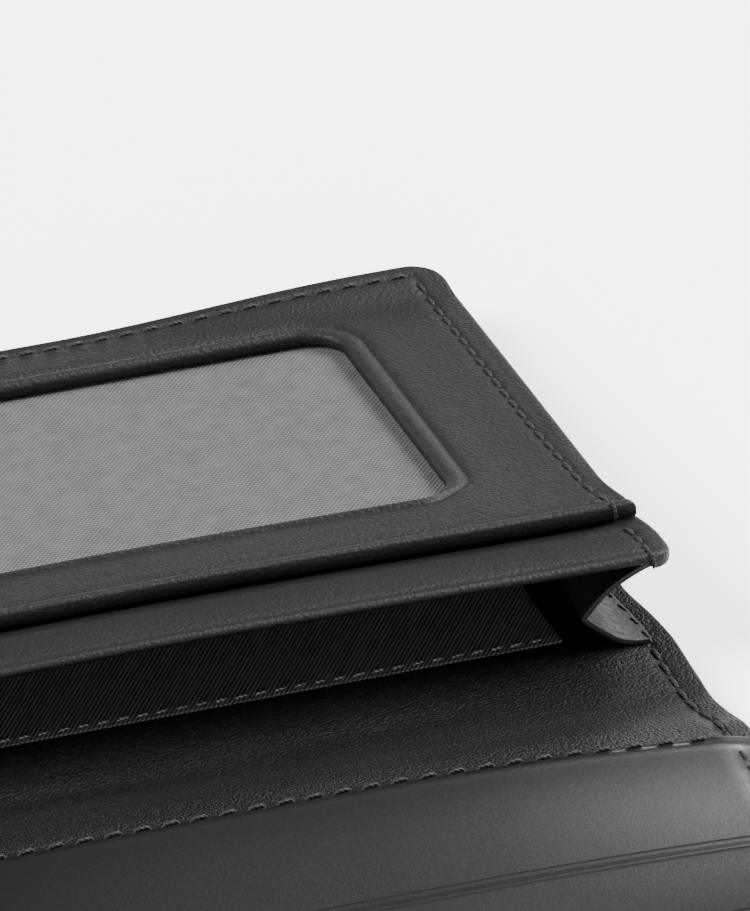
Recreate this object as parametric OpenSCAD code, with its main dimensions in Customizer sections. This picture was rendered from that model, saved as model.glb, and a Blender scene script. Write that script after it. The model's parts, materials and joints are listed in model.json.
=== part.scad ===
// Trifold wallet with an ID window and a bellows pocket, lying open.
// X runs along the fold lines, Y across them, Z up from the table.
// Flap A (+Y) carries the bellows pocket, the centre panel and flap C (-Y) carry card slots.

/* [Body] */
// Length of the wallet along its fold lines
body_len = 102; // [98:1:123]
// Centre panel, between its two fold lines
centre_w = 72; // [60:1:90]
// How much narrower than the centre panel flap A is
flap_a_short = 1; // [0:0.5:4]
// How much narrower than the centre panel flap C is
flap_c_short = 8; // [3:0.5:12]
// Room left between the card slots when flap C is folded over
fold_room_c = 4.4; // [1:0.2:8]
// Room left between the pocket and flap C when flap A is folded over
fold_room_a = 2.55; // [1:0.05:8]
// Radius of the four outer corners
corner_r = 4; // [1:0.5:8]

/* [Leather and lining] */
// Outer shell leather
shell_t = 0.9; // [0.7:0.1:1.2]
// Twill lining, each sheet
lining_t = 0.2; // [0.1:0.05:0.3]
// Free space in the empty bill compartment
bill_gap = 0.2; // [0.1:0.1:0.6]
// Bonded leather stiffening board
board_t = 0.3; // [0.2:0.1:0.6]
// Inner liner leather
liner_t = 0.6; // [0.4:0.1:0.9]
// Width of the turned hems along the edges
hem_w = 3; // [2:0.5:5]
// Card slot leather
slot_t = 0.6; // [0.4:0.04:0.72]

/* [Card slots] */
// Step from the first to the second slot edge on the centre panel
wide_step = 17; // [12:1:20]
// Step between the other slot edges
slot_step = 11; // [9:1:13]
// Distance of a slot layer from the fold line beside it
slot_setback = 1; // [0.5:0.5:3]

/* [Bellows pocket] */
// Angle at which the pocket stands open
pocket_angle = 7; // [5:0.2:8.4]
// Distance of the pocket from the edges of flap A
pocket_inset = 0.8; // [0.4:0.1:1.2]
// Distance of the pocket's mouth from the fold line, when the pocket is closed
mouth_setback = 1.7; // [1.2:0.1:6]
// Lower pocket layer leather
card_layer_t = 0.9; // [0.7:0.1:1.2]
// Step back from the lower layer's mouth edge to the ID layer's
mouth_step = 9; // [6:0.5:12]
// ID layer leather with its turned edges
id_layer_t = 1.2; // [0.9:0.1:1.6]
// Light grey cloth behind the window
backing_t = 0.25; // [0.1:0.05:0.4]
// Clear window film
film_t = 0.2; // [0.1:0.05:0.3]
// Gusset leather
gusset_t = 0.5; // [0.3:0.1:0.6]
// Sewn flange of a gusset
gusset_flange = 3; // [2.6:0.2:5]
// How much longer a gusset arm is than half the height of the open mouth
gusset_slack = 2; // [1:0.2:4]
// Height of the closed pocket under its roof
pocket_closed_h = 1.3; // [1.2:0.1:1.8]
// Leather strip that closes the pocket along its far edge
root_strip_w = 4; // [3:0.5:6]

/* [ID window] */
// Leather beside the window, at its two ends
window_side = 14.7; // [10:0.1:18]
// Leather beside the window, along its far side
window_far = 8.7; // [6:0.1:11]
// Leather beside the window, along its near side
window_near = 8.9; // [6:0.1:11]
// Radius of the window's corners
window_r = 4; // [2:0.5:8]
// Overlap of the film behind the leather
film_margin = 4.5; // [2:0.5:5.5]

/* [Stitching] */
// Distance from one stitch to the next
stitch_pitch = 2.8; // [2.4:0.2:4]
// Visible length of one stitch
stitch_len = 2.2; // [1.6:0.1:2.3]
// Thread thickness
thread_d = 0.4; // [0.3:0.05:0.6]
// Distance of a seam from the edge
seam_margin = 2.4; // [1.8:0.1:3]

/* [Hidden] */

// Clearance between two bodies at a fold line, and between a soft piece and what it meets
fold_gap = 0.1;
soft_gap = 0.05;

// Room around a thread in its channel, and how far a cut runs past what it cuts
channel_play = 0.3;
cut_over = 1;
// Distance of a board from a fold line, of a lining from what bounds it, and of a seam's ends from an edge
board_gap = 1;
lining_gap = 1;
seam_end = 1;
slot_seam_end = 2;
half_step = 0.5;
// Distance of the floor cloth's edge from the fold line, and of its seam from that edge
floor_setback = 6;
floor_seam_inset = 1.2;
// Turned edge that hides the roof cloth, and margins of the cloth behind the window
roof_hem = 3;
backing_margin = 3;
backing_mouth = 2;
// How far the ID layer's ends and the card slots' edges lie inside what carries them
id_end_step = 0.5;
slot_edge_step = 0.3;
// Distance of the edge seam from the first slot's edge, and of the side seams from a step
edge_seam_inset = 0.9;
step_seam_gap = 0.2;

half_len = body_len / 2;
flap_a_w = centre_w - flap_a_short;
flap_c_w = centre_w - flap_c_short;

// Heights of the layers that run through the whole wallet
z_shell_lining = shell_t;
z_bill = shell_t + lining_t;
z_liner_lining = z_bill + bill_gap;
z_board = z_liner_lining + lining_t;
z_liner = z_board + board_t;
base_t = z_liner + liner_t;

// Layers of the pocket, counted from its underside
roof_top = lining_t;
card_layer_top = roof_top + card_layer_t;
backing_top = card_layer_top + backing_t;
film_top = backing_top + film_t;
id_face_top = film_top + id_layer_t;

// The spines are as wide as what lies between the folded panels
slot_count = 3;
spine_bc_w = 2 * slot_count * slot_t + fold_room_c;
spine_ab_w = spine_bc_w + base_t + pocket_closed_h + id_face_top + fold_room_a;
total_w = flap_a_w + spine_ab_w + centre_w + spine_bc_w + flap_c_w;

// Fold lines and free edges, from +Y to -Y
y_a_end = total_w / 2;
y_fold_a = y_a_end - flap_a_w;
y_fold_ab = y_fold_a - spine_ab_w;
y_fold_bc = y_fold_ab - centre_w;
y_fold_c = y_fold_bc - spine_bc_w;
y_c_end = -total_w / 2;

// The bellows pocket turns about its far edge
y_pocket = y_a_end - pocket_inset;
z_pocket = base_t + pocket_closed_h;
pocket_half = half_len - pocket_inset;
card_layer_len = flap_a_w - pocket_inset - mouth_setback;
id_layer_len = card_layer_len - mouth_step;

// The floor and the roof meet at gusset_apex beyond the pocket's far edge, and the gussets taper to there
gusset_apex = (pocket_closed_h - soft_gap) / tan(pocket_angle);
gusset_near = gusset_apex + card_layer_len * cos(pocket_angle) - lining_gap;
gusset_far = gusset_apex + root_strip_w + half_step;
gusset_arm = gusset_near * tan(pocket_angle / 2) + gusset_slack;
floor_half = half_len - gusset_flange - gusset_arm;

// Sides of the window, in the pocket's own coordinates
window_half = pocket_half - window_side;
window_y_low = window_near - id_layer_len;
window_y_high = -window_far;

// Free edges of the card slots, the deepest layer first
slot_edges_b = [
    y_fold_ab - slot_setback,
    y_fold_ab - slot_setback - wide_step,
    y_fold_ab - slot_setback - wide_step - slot_step,
];
slot_edges_c = [for (i = [0:slot_count - 1]) y_fold_c - slot_setback - i * slot_step];

channel_w = thread_d + channel_play;
channel_depth = thread_d;

// Points of an arc about (cx, cy)
function arc(cx, cy, r, from, to, steps = 8) =
    [for (i = [0:steps]) let (a = from + (to - from) * i / steps) [cx + r * cos(a), cy + r * sin(a)]];

// Outline of a panel from y_low to y_high, with its own corner radius at each end
function panel_outline(half, y_low, y_high, r_low, r_high) = concat(
    r_high > 0 ? arc(half - r_high, y_high - r_high, r_high, 0, 90) : [[half, y_high]],
    r_high > 0 ? arc(r_high - half, y_high - r_high, r_high, 90, 180) : [[-half, y_high]],
    r_low > 0 ? arc(r_low - half, y_low + r_low, r_low, 180, 270) : [[-half, y_low]],
    r_low > 0 ? arc(half - r_low, y_low + r_low, r_low, 270, 360) : [[half, y_low]]
);

// One flat layer of the wallet
module layer(half, y_low, y_high, z, t, r_low = 0, r_high = 0) {
    translate([0, 0, z])
        linear_extrude(t)
            polygon(panel_outline(half, y_low, y_high, r_low, r_high));
}

// A bar between two corners, from height z up
module bar(x_low, x_high, y_low, y_high, z, t) {
    translate([x_low, y_low, z]) cube([x_high - x_low, y_high - y_low, t]);
}

// A row of stitches along Y at x, lying on height z
module stitches_along_y(x, y_low, y_high, z) {
    count = floor((y_high - y_low) / stitch_pitch);
    start = (y_low + y_high - count * stitch_pitch) / 2;
    for (i = [0:count - 1])
        translate([x - thread_d / 2, start + (i + 0.5) * stitch_pitch - stitch_len / 2, z])
            cube([thread_d, stitch_len, thread_d]);
}

// A row of stitches along X at y
module stitches_along_x(y, x_low, x_high, z) {
    count = floor((x_high - x_low) / stitch_pitch);
    start = (x_low + x_high - count * stitch_pitch) / 2;
    for (i = [0:count - 1])
        translate([start + (i + 0.5) * stitch_pitch - stitch_len / 2, y - thread_d / 2, z])
            cube([stitch_len, thread_d, thread_d]);
}

// Stitches on the underside and the sides' top, for the stretch of a body from y_low to y_high
module side_seams(y_low, y_high, z_top) {
    for (side = [-1, 1]) {
        stitches_along_y(side * (half_len - seam_margin), y_low, y_high, 0);
        stitches_along_y(side * (half_len - seam_margin), y_low, y_high, z_top);
    }
}

// Channels that sink the seams into the outer shell
module side_channels(y_low, y_high) {
    for (side = [-1, 1])
        bar(side * (half_len - seam_margin) - channel_w / 2, side * (half_len - seam_margin) + channel_w / 2,
            y_low - cut_over, y_high + cut_over, -cut_over, cut_over + channel_depth);
}

// The same along a free end
module end_channel(y) {
    bar(seam_margin - half_len, half_len - seam_margin, y - channel_w / 2, y + channel_w / 2,
        -cut_over, cut_over + channel_depth);
}

// Outer shell leather of one body
module shell(y_low, y_high, r_low = 0, r_high = 0) {
    color("#2b2b2d") difference() {
        layer(half_len, y_low, y_high, 0, shell_t, r_low, r_high);
        side_channels(r_low > 0 ? y_low + seam_margin : y_low, r_high > 0 ? y_high - seam_margin : y_high);
        if (r_high > 0) end_channel(y_high - seam_margin);
        if (r_low > 0) end_channel(y_low + seam_margin);
    }
}

// Twill on the inside of the shell, and twill on the back of the liner
module shell_lining(y_low, y_high) {
    color("#18181a") layer(half_len - hem_w, y_low, y_high, z_shell_lining, lining_t);
}

module liner_lining(y_low, y_high) {
    color("#18181a") layer(half_len - hem_w, y_low, y_high, z_liner_lining, lining_t);
}

// Stiffening board between the liner and its twill
module board(y_low, y_high) {
    color("#5a4a3c") layer(half_len - hem_w, y_low, y_high, z_board, board_t);
}

// Inner liner leather of one body
module liner(y_low, y_high, r_low = 0, r_high = 0) {
    color("#2f2f31") layer(half_len, y_low, y_high, z_liner, liner_t, r_low, r_high);
}

// Turned hems: closed along +X, and open along -X, where the bills go in
module side_hems(y_low, y_high) {
    bar(half_len - hem_w, half_len, y_low, y_high, shell_t, z_liner - shell_t);
    bar(-half_len, hem_w - half_len, y_low, y_high, shell_t, lining_t);
    bar(-half_len, hem_w - half_len, y_low, y_high, z_liner_lining, z_liner - z_liner_lining);
}

// Limits of each body along Y
a_low = y_fold_a + fold_gap / 2;
ab_low = y_fold_ab + fold_gap / 2;
ab_high = y_fold_a - fold_gap / 2;
b_low = y_fold_bc + fold_gap / 2;
b_high = y_fold_ab - fold_gap / 2;
bc_low = y_fold_c + fold_gap / 2;
bc_high = y_fold_bc - fold_gap / 2;
c_high = y_fold_c - fold_gap / 2;

// Flap A, base
module outer_shell_a() { shell(a_low, y_a_end, 0, corner_r); }
module shell_lining_a() { shell_lining(a_low, y_a_end - hem_w); }
module liner_lining_a() { liner_lining(a_low, y_a_end - hem_w); }
module board_a() { board(a_low + board_gap, y_a_end - hem_w); }
module inner_liner_a() { liner(a_low, y_a_end, 0, corner_r); }
module hem_a() {
    color("#242426") {
        side_hems(a_low, y_a_end - corner_r);
        bar(corner_r - half_len, half_len - corner_r, y_a_end - hem_w, y_a_end, shell_t, z_liner - shell_t);
    }
}

// Where the pocket floor's cloth ends and its seam runs
floor_edge_y = y_fold_a + floor_setback;
module pocket_floor_lining() {
    color("#151516")
        layer(floor_half, floor_edge_y, y_pocket - root_strip_w - lining_gap, base_t, lining_t);
}
module floor_seam() {
    color("#8c8c8c")
        stitches_along_x(floor_edge_y + floor_seam_inset, seam_end - floor_half, floor_half - seam_end,
            base_t + lining_t);
}
module pocket_root_strip() {
    color("#242426")
        bar(corner_r - half_len, half_len - corner_r, y_pocket - root_strip_w, y_pocket, base_t,
            pocket_closed_h - soft_gap);
}

// Lower half of the right gusset: its sewn flange and the arm that rises inwards to the fold
module gusset_half() {
    root = half_len - gusset_flange;
    translate([root, -gusset_near, 0]) cube([pocket_half - root, gusset_near - gusset_far, gusset_t]);
    translate([root, 0, 0])
        rotate([0, asin(gusset_near * tan(pocket_angle / 2) / gusset_arm), 0])
            linear_extrude(gusset_t)
                polygon([
                    [0, -gusset_near], [0, -gusset_far],
                    [-gusset_arm * gusset_far / gusset_near, -gusset_far], [-gusset_arm, -gusset_near],
                ]);
}

// A gusset is a V-folded strip between the flap and the pocket's roof; side is +1 or -1
module gusset(side) {
    color("#3a3a3c")
        mirror([side > 0 ? 0 : 1, 0, 0])
            translate([0, y_pocket + gusset_apex, base_t])
                rotate([-pocket_angle / 2, 0, 0])
                    for (half = [0, 1])
                        mirror([0, 0, half]) rotate([pocket_angle / 2, 0, 0]) gusset_half();
}
module gusset_right() { gusset(1); }
module gusset_left() { gusset(-1); }

module seam_a() {
    color("#101010") {
        for (side = [-1, 1])
            stitches_along_y(side * (half_len - seam_margin), a_low + seam_end, y_a_end - seam_margin, 0);
        stitches_along_x(y_a_end - seam_margin, seam_margin - half_len + seam_end,
            half_len - seam_margin - seam_end, 0);
    }
}

// Bellows pocket, drawn with its far edge on the X axis and its mouth towards -Y, then opened
module in_pocket() {
    translate([0, y_pocket, z_pocket]) rotate([-pocket_angle, 0, 0]) children();
}
module pocket_roof_lining() {
    color("#151516") in_pocket()
        layer(pocket_half - lining_gap, -card_layer_len + roof_hem, -lining_gap, 0, lining_t);
}
module card_pocket_layer() {
    color("#2d2d2f") in_pocket()
        layer(pocket_half, -card_layer_len, 0, roof_top, card_layer_t, corner_r, corner_r);
}
module id_backing() {
    color("#9a9a9a") in_pocket()
        layer(pocket_half - backing_margin, -id_layer_len + backing_mouth, -backing_margin, card_layer_top,
            backing_t);
}
module id_window_film() {
    color("#d8dde0", 0.3) in_pocket()
        layer(window_half + film_margin, window_y_low - film_margin, window_y_high + film_margin, backing_top,
            film_t);
}
module id_pocket_face() {
    color("#303032") in_pocket() difference() {
        layer(pocket_half - id_end_step, -id_layer_len, 0, film_top, id_layer_t, 0, corner_r);
        layer(window_half, window_y_low, window_y_high, film_top - cut_over, id_layer_t + 2 * cut_over, window_r,
            window_r);
    }
}
module seam_pocket() {
    color("#101010") in_pocket() {
        for (side = [-1, 1]) {
            stitches_along_y(side * (pocket_half - seam_margin), half_step - id_layer_len, -seam_margin,
                id_face_top);
            stitches_along_y(side * (pocket_half - seam_margin), slot_seam_end - card_layer_len,
                -id_layer_len - step_seam_gap, card_layer_top);
        }
        stitches_along_x(-seam_margin, seam_margin - pocket_half + half_step, pocket_half - seam_margin - half_step,
            id_face_top);
    }
}

// Spine between the centre panel and flap A
module outer_spine_ab() { shell(ab_low, ab_high); }
module shell_lining_ab() { shell_lining(ab_low, ab_high); }
module liner_lining_ab() { liner_lining(ab_low, ab_high); }
module hem_ab() { color("#242426") side_hems(ab_low, ab_high); }
module inner_spine_ab() { liner(ab_low, ab_high); }
module seam_ab() { color("#101010") side_seams(ab_low, ab_high, base_t); }

// Centre panel
module outer_shell_b() { shell(b_low, b_high); }
module shell_lining_b() { shell_lining(b_low, b_high); }
module liner_lining_b() { liner_lining(b_low, b_high); }
module board_b() { board(b_low + board_gap, b_high - board_gap); }
module hem_b() { color("#242426") side_hems(b_low, b_high); }
module inner_liner_b() { liner(b_low, b_high); }

// One card slot layer from its free edge down to the panel's far side
module card_slot(y_low, edge, level) {
    color("#38383a") layer(half_len - slot_edge_step, y_low, edge, base_t + level * slot_t, slot_t);
}
module card_slot_b1() { card_slot(b_low + slot_setback, slot_edges_b[0], 0); }
module card_slot_b2() { card_slot(b_low + slot_setback, slot_edges_b[1], 1); }
module card_slot_b3() { card_slot(b_low + slot_setback, slot_edges_b[2], 2); }
module slot_edge_seam() {
    color("#101010")
        stitches_along_x(slot_edges_b[0] - edge_seam_inset, seam_margin - half_len + slot_seam_end,
            half_len - seam_margin - slot_seam_end, base_t + slot_t);
}

// Seams down both sides of a stepped stack of card slots, with the stretch on each level on its own height
module stepped_seams(y_low, edges) {
    for (i = [0:slot_count - 1], side = [-1, 1])
        stitches_along_y(side * (half_len - seam_margin),
            i < slot_count - 1 ? edges[i + 1] + step_seam_gap : y_low, edges[i] - step_seam_gap,
            base_t + (i + 1) * slot_t);
}
module seam_b() {
    color("#101010") {
        for (side = [-1, 1]) stitches_along_y(side * (half_len - seam_margin), b_low, b_high, 0);
        stepped_seams(b_low + slot_setback, slot_edges_b);
    }
}

// Spine between the centre panel and flap C
module outer_spine_bc() { shell(bc_low, bc_high); }
module shell_lining_bc() { shell_lining(bc_low, bc_high); }
module liner_lining_bc() { liner_lining(bc_low, bc_high); }
module hem_bc() { color("#242426") side_hems(bc_low, bc_high); }
module inner_spine_bc() { liner(bc_low, bc_high); }
module seam_bc() { color("#101010") side_seams(bc_low, bc_high, base_t); }

// Flap C
module outer_shell_c() { shell(y_c_end, c_high, corner_r, 0); }
module shell_lining_c() { shell_lining(y_c_end + hem_w, c_high); }
module liner_lining_c() { liner_lining(y_c_end + hem_w, c_high); }
module board_c() { board(y_c_end + hem_w, c_high - board_gap); }
module inner_liner_c() { liner(y_c_end, c_high, corner_r, 0); }
module hem_c() {
    color("#242426") {
        side_hems(y_c_end + corner_r, c_high);
        bar(corner_r - half_len, half_len - corner_r, y_c_end, y_c_end + hem_w, shell_t, z_liner - shell_t);
    }
}
module slot_c(level) {
    color("#38383a")
        layer(half_len - slot_edge_step, y_c_end + slot_edge_step, slot_edges_c[level], base_t + level * slot_t,
            slot_t, corner_r, 0);
}
module card_slot_c1() { slot_c(0); }
module card_slot_c2() { slot_c(1); }
module card_slot_c3() { slot_c(2); }
module seam_c() {
    color("#101010") {
        for (side = [-1, 1]) stitches_along_y(side * (half_len - seam_margin), y_c_end + seam_margin, c_high, 0);
        stepped_seams(y_c_end + seam_margin, slot_edges_c);
        for (z = [0, base_t + slot_count * slot_t])
            stitches_along_x(y_c_end + seam_margin, seam_margin - half_len + seam_end,
                half_len - seam_margin - seam_end, z);
    }
}

outer_shell_a();
shell_lining_a();
liner_lining_a();
board_a();
hem_a();
inner_liner_a();
pocket_floor_lining();
pocket_root_strip();
gusset_right();
gusset_left();
seam_a();
floor_seam();
pocket_roof_lining();
card_pocket_layer();
id_backing();
id_window_film();
id_pocket_face();
seam_pocket();
outer_spine_ab();
shell_lining_ab();
liner_lining_ab();
hem_ab();
inner_spine_ab();
seam_ab();
outer_shell_b();
shell_lining_b();
liner_lining_b();
board_b();
hem_b();
inner_liner_b();
card_slot_b1();
card_slot_b2();
card_slot_b3();
slot_edge_seam();
seam_b();
outer_spine_bc();
shell_lining_bc();
liner_lining_bc();
hem_bc();
inner_spine_bc();
seam_bc();
outer_shell_c();
shell_lining_c();
liner_lining_c();
board_c();
hem_c();
inner_liner_c();
card_slot_c1();
card_slot_c2();
card_slot_c3();
seam_c();
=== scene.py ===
"""Finished surfaces of a leather trifold wallet that lies open: flap with an ID window over a bellows pocket,
centre panel and flap with stepped card slots, spines, linings and seams."""

import json
import logging
import math
from dataclasses import dataclass
from enum import Enum
from typing import Callable, Sequence

import bpy
import numpy as np
from mathutils import Matrix, Vector

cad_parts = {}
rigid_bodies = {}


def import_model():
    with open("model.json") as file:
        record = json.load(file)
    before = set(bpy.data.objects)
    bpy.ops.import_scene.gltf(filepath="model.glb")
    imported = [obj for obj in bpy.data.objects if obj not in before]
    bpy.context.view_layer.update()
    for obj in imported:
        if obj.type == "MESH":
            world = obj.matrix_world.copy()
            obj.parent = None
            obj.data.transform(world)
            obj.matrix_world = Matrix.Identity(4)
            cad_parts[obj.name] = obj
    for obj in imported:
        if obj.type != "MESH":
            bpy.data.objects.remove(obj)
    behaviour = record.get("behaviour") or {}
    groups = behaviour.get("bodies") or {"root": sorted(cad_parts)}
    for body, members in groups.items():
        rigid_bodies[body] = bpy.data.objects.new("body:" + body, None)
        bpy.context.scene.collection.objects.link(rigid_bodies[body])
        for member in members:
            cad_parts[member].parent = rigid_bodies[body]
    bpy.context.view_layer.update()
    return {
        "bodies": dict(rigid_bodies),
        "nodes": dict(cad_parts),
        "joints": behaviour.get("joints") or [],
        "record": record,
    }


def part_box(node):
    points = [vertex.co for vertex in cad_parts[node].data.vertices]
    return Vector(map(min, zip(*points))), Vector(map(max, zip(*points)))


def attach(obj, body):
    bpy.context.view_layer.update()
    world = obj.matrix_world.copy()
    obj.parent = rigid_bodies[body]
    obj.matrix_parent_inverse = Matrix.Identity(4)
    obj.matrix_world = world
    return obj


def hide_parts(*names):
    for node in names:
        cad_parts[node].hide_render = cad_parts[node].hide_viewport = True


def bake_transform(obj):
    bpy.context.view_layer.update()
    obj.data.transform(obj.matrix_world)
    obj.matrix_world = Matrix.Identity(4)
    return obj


LOG = logging.getLogger("wallet")
MM = 0.001
Obj = bpy.types.Object
Mat = bpy.types.Material
Array = np.ndarray
Field = Callable[[Array, Array], Array]
Box = tuple[float, float, float, float]
Place = tuple[Vector, Vector]

# Lines that draw a rounded edge, as shares of its width.
EDGE_LINES = np.array([0.0, 0.08, 0.28, 0.6, 1.0])
# Lines beside a row of stitches, in millimetres from its middle, so that its hollows have a shape.
SEAM_LINES = (-0.5, -0.2, 0.0, 0.2, 0.5)
# Edges sharper than this stay sharp.
SHARP_DEG = 50.0
# A wave texture of scale 1 has a band every 0.314 units.
BAND_SCALE = 0.314
BANDS = {"wave_type": "BANDS", "bands_direction": "X", "wave_profile": "SIN"}


# ---------------------------------------------------------------- small mathematics, all in millimetres


def smooth(value: Array, low: float, high: float) -> Array:
    """Smooth step from 0 at low to 1 at high, also for low above high."""
    t = np.clip((np.asarray(value, float) - low) / (high - low), 0.0, 1.0)
    return t * t * (3.0 - 2.0 * t)


def ridge(distance: Array, at: float, width: float, height: float) -> Array:
    """Height of a soft ridge, or of a groove where height is negative, along a line at a distance."""
    return height * np.exp(-(((distance - at) / width) ** 2))


def edge_distance(x: Array, y: Array, box: Box, r_low: float = 0.0, r_high: float = 0.0) -> Array:
    """Distance inwards from the outline of a rectangle with rounded corners.

    Args:
        x: Points across the folds' length.
        y: Points across the folds.
        box: Low x, high x, low y, high y of the rectangle.
        r_low: Radius of the two corners at low y.
        r_high: Radius of the two corners at high y.

    Returns:
        Positive distances inside, negative ones outside.
    """
    cx, cy = (box[0] + box[1]) / 2, (box[2] + box[3]) / 2
    r = np.where(y > cy, r_high, r_low)
    qx = np.abs(x - cx) - ((box[1] - box[0]) / 2 - r)
    qy = np.abs(y - cy) - ((box[3] - box[2]) / 2 - r)
    outside = np.hypot(np.maximum(qx, 0), np.maximum(qy, 0))
    return r - outside - np.minimum(np.maximum(qx, qy), 0)


def roll_off(distance: Array, radius: float) -> Array:
    """How far a rounded edge falls below the surface, at a distance from the edge."""
    d = np.clip(distance, 0.0, radius)
    return radius - np.sqrt(np.maximum(radius**2 - (radius - d) ** 2, 0.0))


def grid_lines(low: float, high: float, step: float, edge: float, marks: Sequence[float] = ()) -> Array:
    """Places of grid lines, closer together at both ends and where the marks are.

    Args:
        low: First line.
        high: Last line.
        step: Spacing away from ends and marks.
        edge: Width of the rounding at the ends.
        marks: Places that need a line of their own.

    Returns:
        Rising places of the lines.
    """
    near = EDGE_LINES * edge
    fixed = np.unique(np.round(np.concatenate([low + near, high - near, np.array(marks, float)]), 4))
    fixed = fixed[(fixed >= low - 1e-6) & (fixed <= high + 1e-6)]
    keep = [fixed[0]]
    for value in fixed[1:]:
        if value - keep[-1] > 0.03:
            keep.append(value)
    keep[-1] = high
    lines = list(keep)
    for a, b in zip(keep[:-1], keep[1:]):
        count = max(1, math.ceil((b - a) / step))
        lines += list(np.linspace(a, b, count + 1)[1:-1])
    return np.array(sorted(lines))


def both_sides(x: float, offsets: Sequence[float]) -> tuple[float, ...]:
    """The places at x plus each offset, and the same ones mirrored."""
    return tuple(s * (x + d) for s in (-1, 1) for d in offsets)


def corners(node: str) -> Place:
    """Low and high corner of a CAD node, in millimetres."""
    low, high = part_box(node)
    return low / MM, high / MM


# ---------------------------------------------------------------- mesh tools


def deselect() -> None:
    """Leaves nothing selected."""
    bpy.ops.object.select_all(action="DESELECT")


def activate(obj: Obj) -> None:
    """Leaves just this object selected, and makes it the active one."""
    deselect()
    obj.select_set(True)
    bpy.context.view_layer.objects.active = obj


def apply_modifier(obj: Obj, kind: str, **settings: object) -> None:
    """Adds a modifier with its settings to the active object, and applies it."""
    modifier = obj.modifiers.new(kind.lower(), kind)
    for key, value in settings.items():
        setattr(modifier, key, value)
    bpy.ops.object.modifier_apply(modifier=modifier.name)


def read_points(obj: Obj) -> Array:
    """The mesh's points, one row each."""
    co = np.zeros(len(obj.data.vertices) * 3)
    obj.data.vertices.foreach_get("co", co)
    return co.reshape(-1, 3)


def write_points(obj: Obj, co: Array) -> None:
    """Moves the mesh's points."""
    obj.data.vertices.foreach_set("co", co.ravel())
    obj.data.update()


def add_grid(name: str, xs: Array, ys: Array) -> Obj:
    """A flat grid whose lines stand at the given places."""
    deselect()
    bpy.ops.mesh.primitive_grid_add(x_subdivisions=len(xs) - 1, y_subdivisions=len(ys) - 1, size=1.0)
    obj = bpy.context.object
    obj.name = name
    obj.data.name = name
    co = read_points(obj)
    co[:, 0] = xs[np.rint((co[:, 0] + 0.5) * (len(xs) - 1)).astype(int)]
    co[:, 1] = ys[np.rint((co[:, 1] + 0.5) * (len(ys) - 1)).astype(int)]
    write_points(obj, co)
    return obj


def round_outer_corner(co: Array, cx: float, cy: float, sx: int, sy: int, r: float) -> None:
    """Bends the grid square of side r at a corner into a quarter disc about (cx, cy)."""
    u = sx * (co[:, 0] - cx) / r
    v = sy * (co[:, 1] - cy) / r
    inside = (u > 0) & (v > 0)
    uu, vv = np.minimum(u[inside], 1.0), np.minimum(v[inside], 1.0)
    co[inside, 0] = cx + sx * r * uu * np.sqrt(1 - vv**2 / 2)
    co[inside, 1] = cy + sy * r * vv * np.sqrt(1 - uu**2 / 2)


def round_hole_corner(co: Array, cx: float, cy: float, sx: int, sy: int, r: float) -> None:
    """Pulls the grid around a square hole's corner in to an arc about (cx, cy)."""
    u = sx * (co[:, 0] - cx) / r
    v = sy * (co[:, 1] - cy) / r
    near = (u > 0) & (v > 0) & (np.maximum(u, v) >= 1 - 1e-6) & (np.maximum(u, v) < 3)
    m = np.maximum(u[near], v[near])
    a, b = u[near] / m, v[near] / m
    fade = 1 - smooth(m, 1.0, 3.0)
    co[near, 0] += sx * r * fade * (a * np.sqrt(1 - b**2 / 2) - a)
    co[near, 1] += sy * r * fade * (b * np.sqrt(1 - a**2 / 2) - b)


def select_faces(obj: Obj, test: Callable[[Vector], bool]) -> None:
    """In edit mode, selects just the faces whose centre passes the test."""
    bpy.ops.object.mode_set(mode="EDIT")
    bpy.ops.mesh.select_mode(type="FACE")
    bpy.ops.mesh.select_all(action="DESELECT")
    bpy.ops.object.mode_set(mode="OBJECT")
    for face in obj.data.polygons:
        face.select = test(face.center)
    bpy.ops.object.mode_set(mode="EDIT")


def thicken(height: float) -> None:
    """Extrudes the active flat mesh upwards into a closed slab."""
    bpy.ops.object.mode_set(mode="EDIT")
    bpy.ops.mesh.select_all(action="SELECT")
    bpy.ops.mesh.extrude_region_move(TRANSFORM_OT_translate={"value": (0, 0, height)})
    bpy.ops.mesh.select_all(action="SELECT")
    bpy.ops.mesh.normals_make_consistent(inside=False)
    bpy.ops.object.mode_set(mode="OBJECT")


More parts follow.
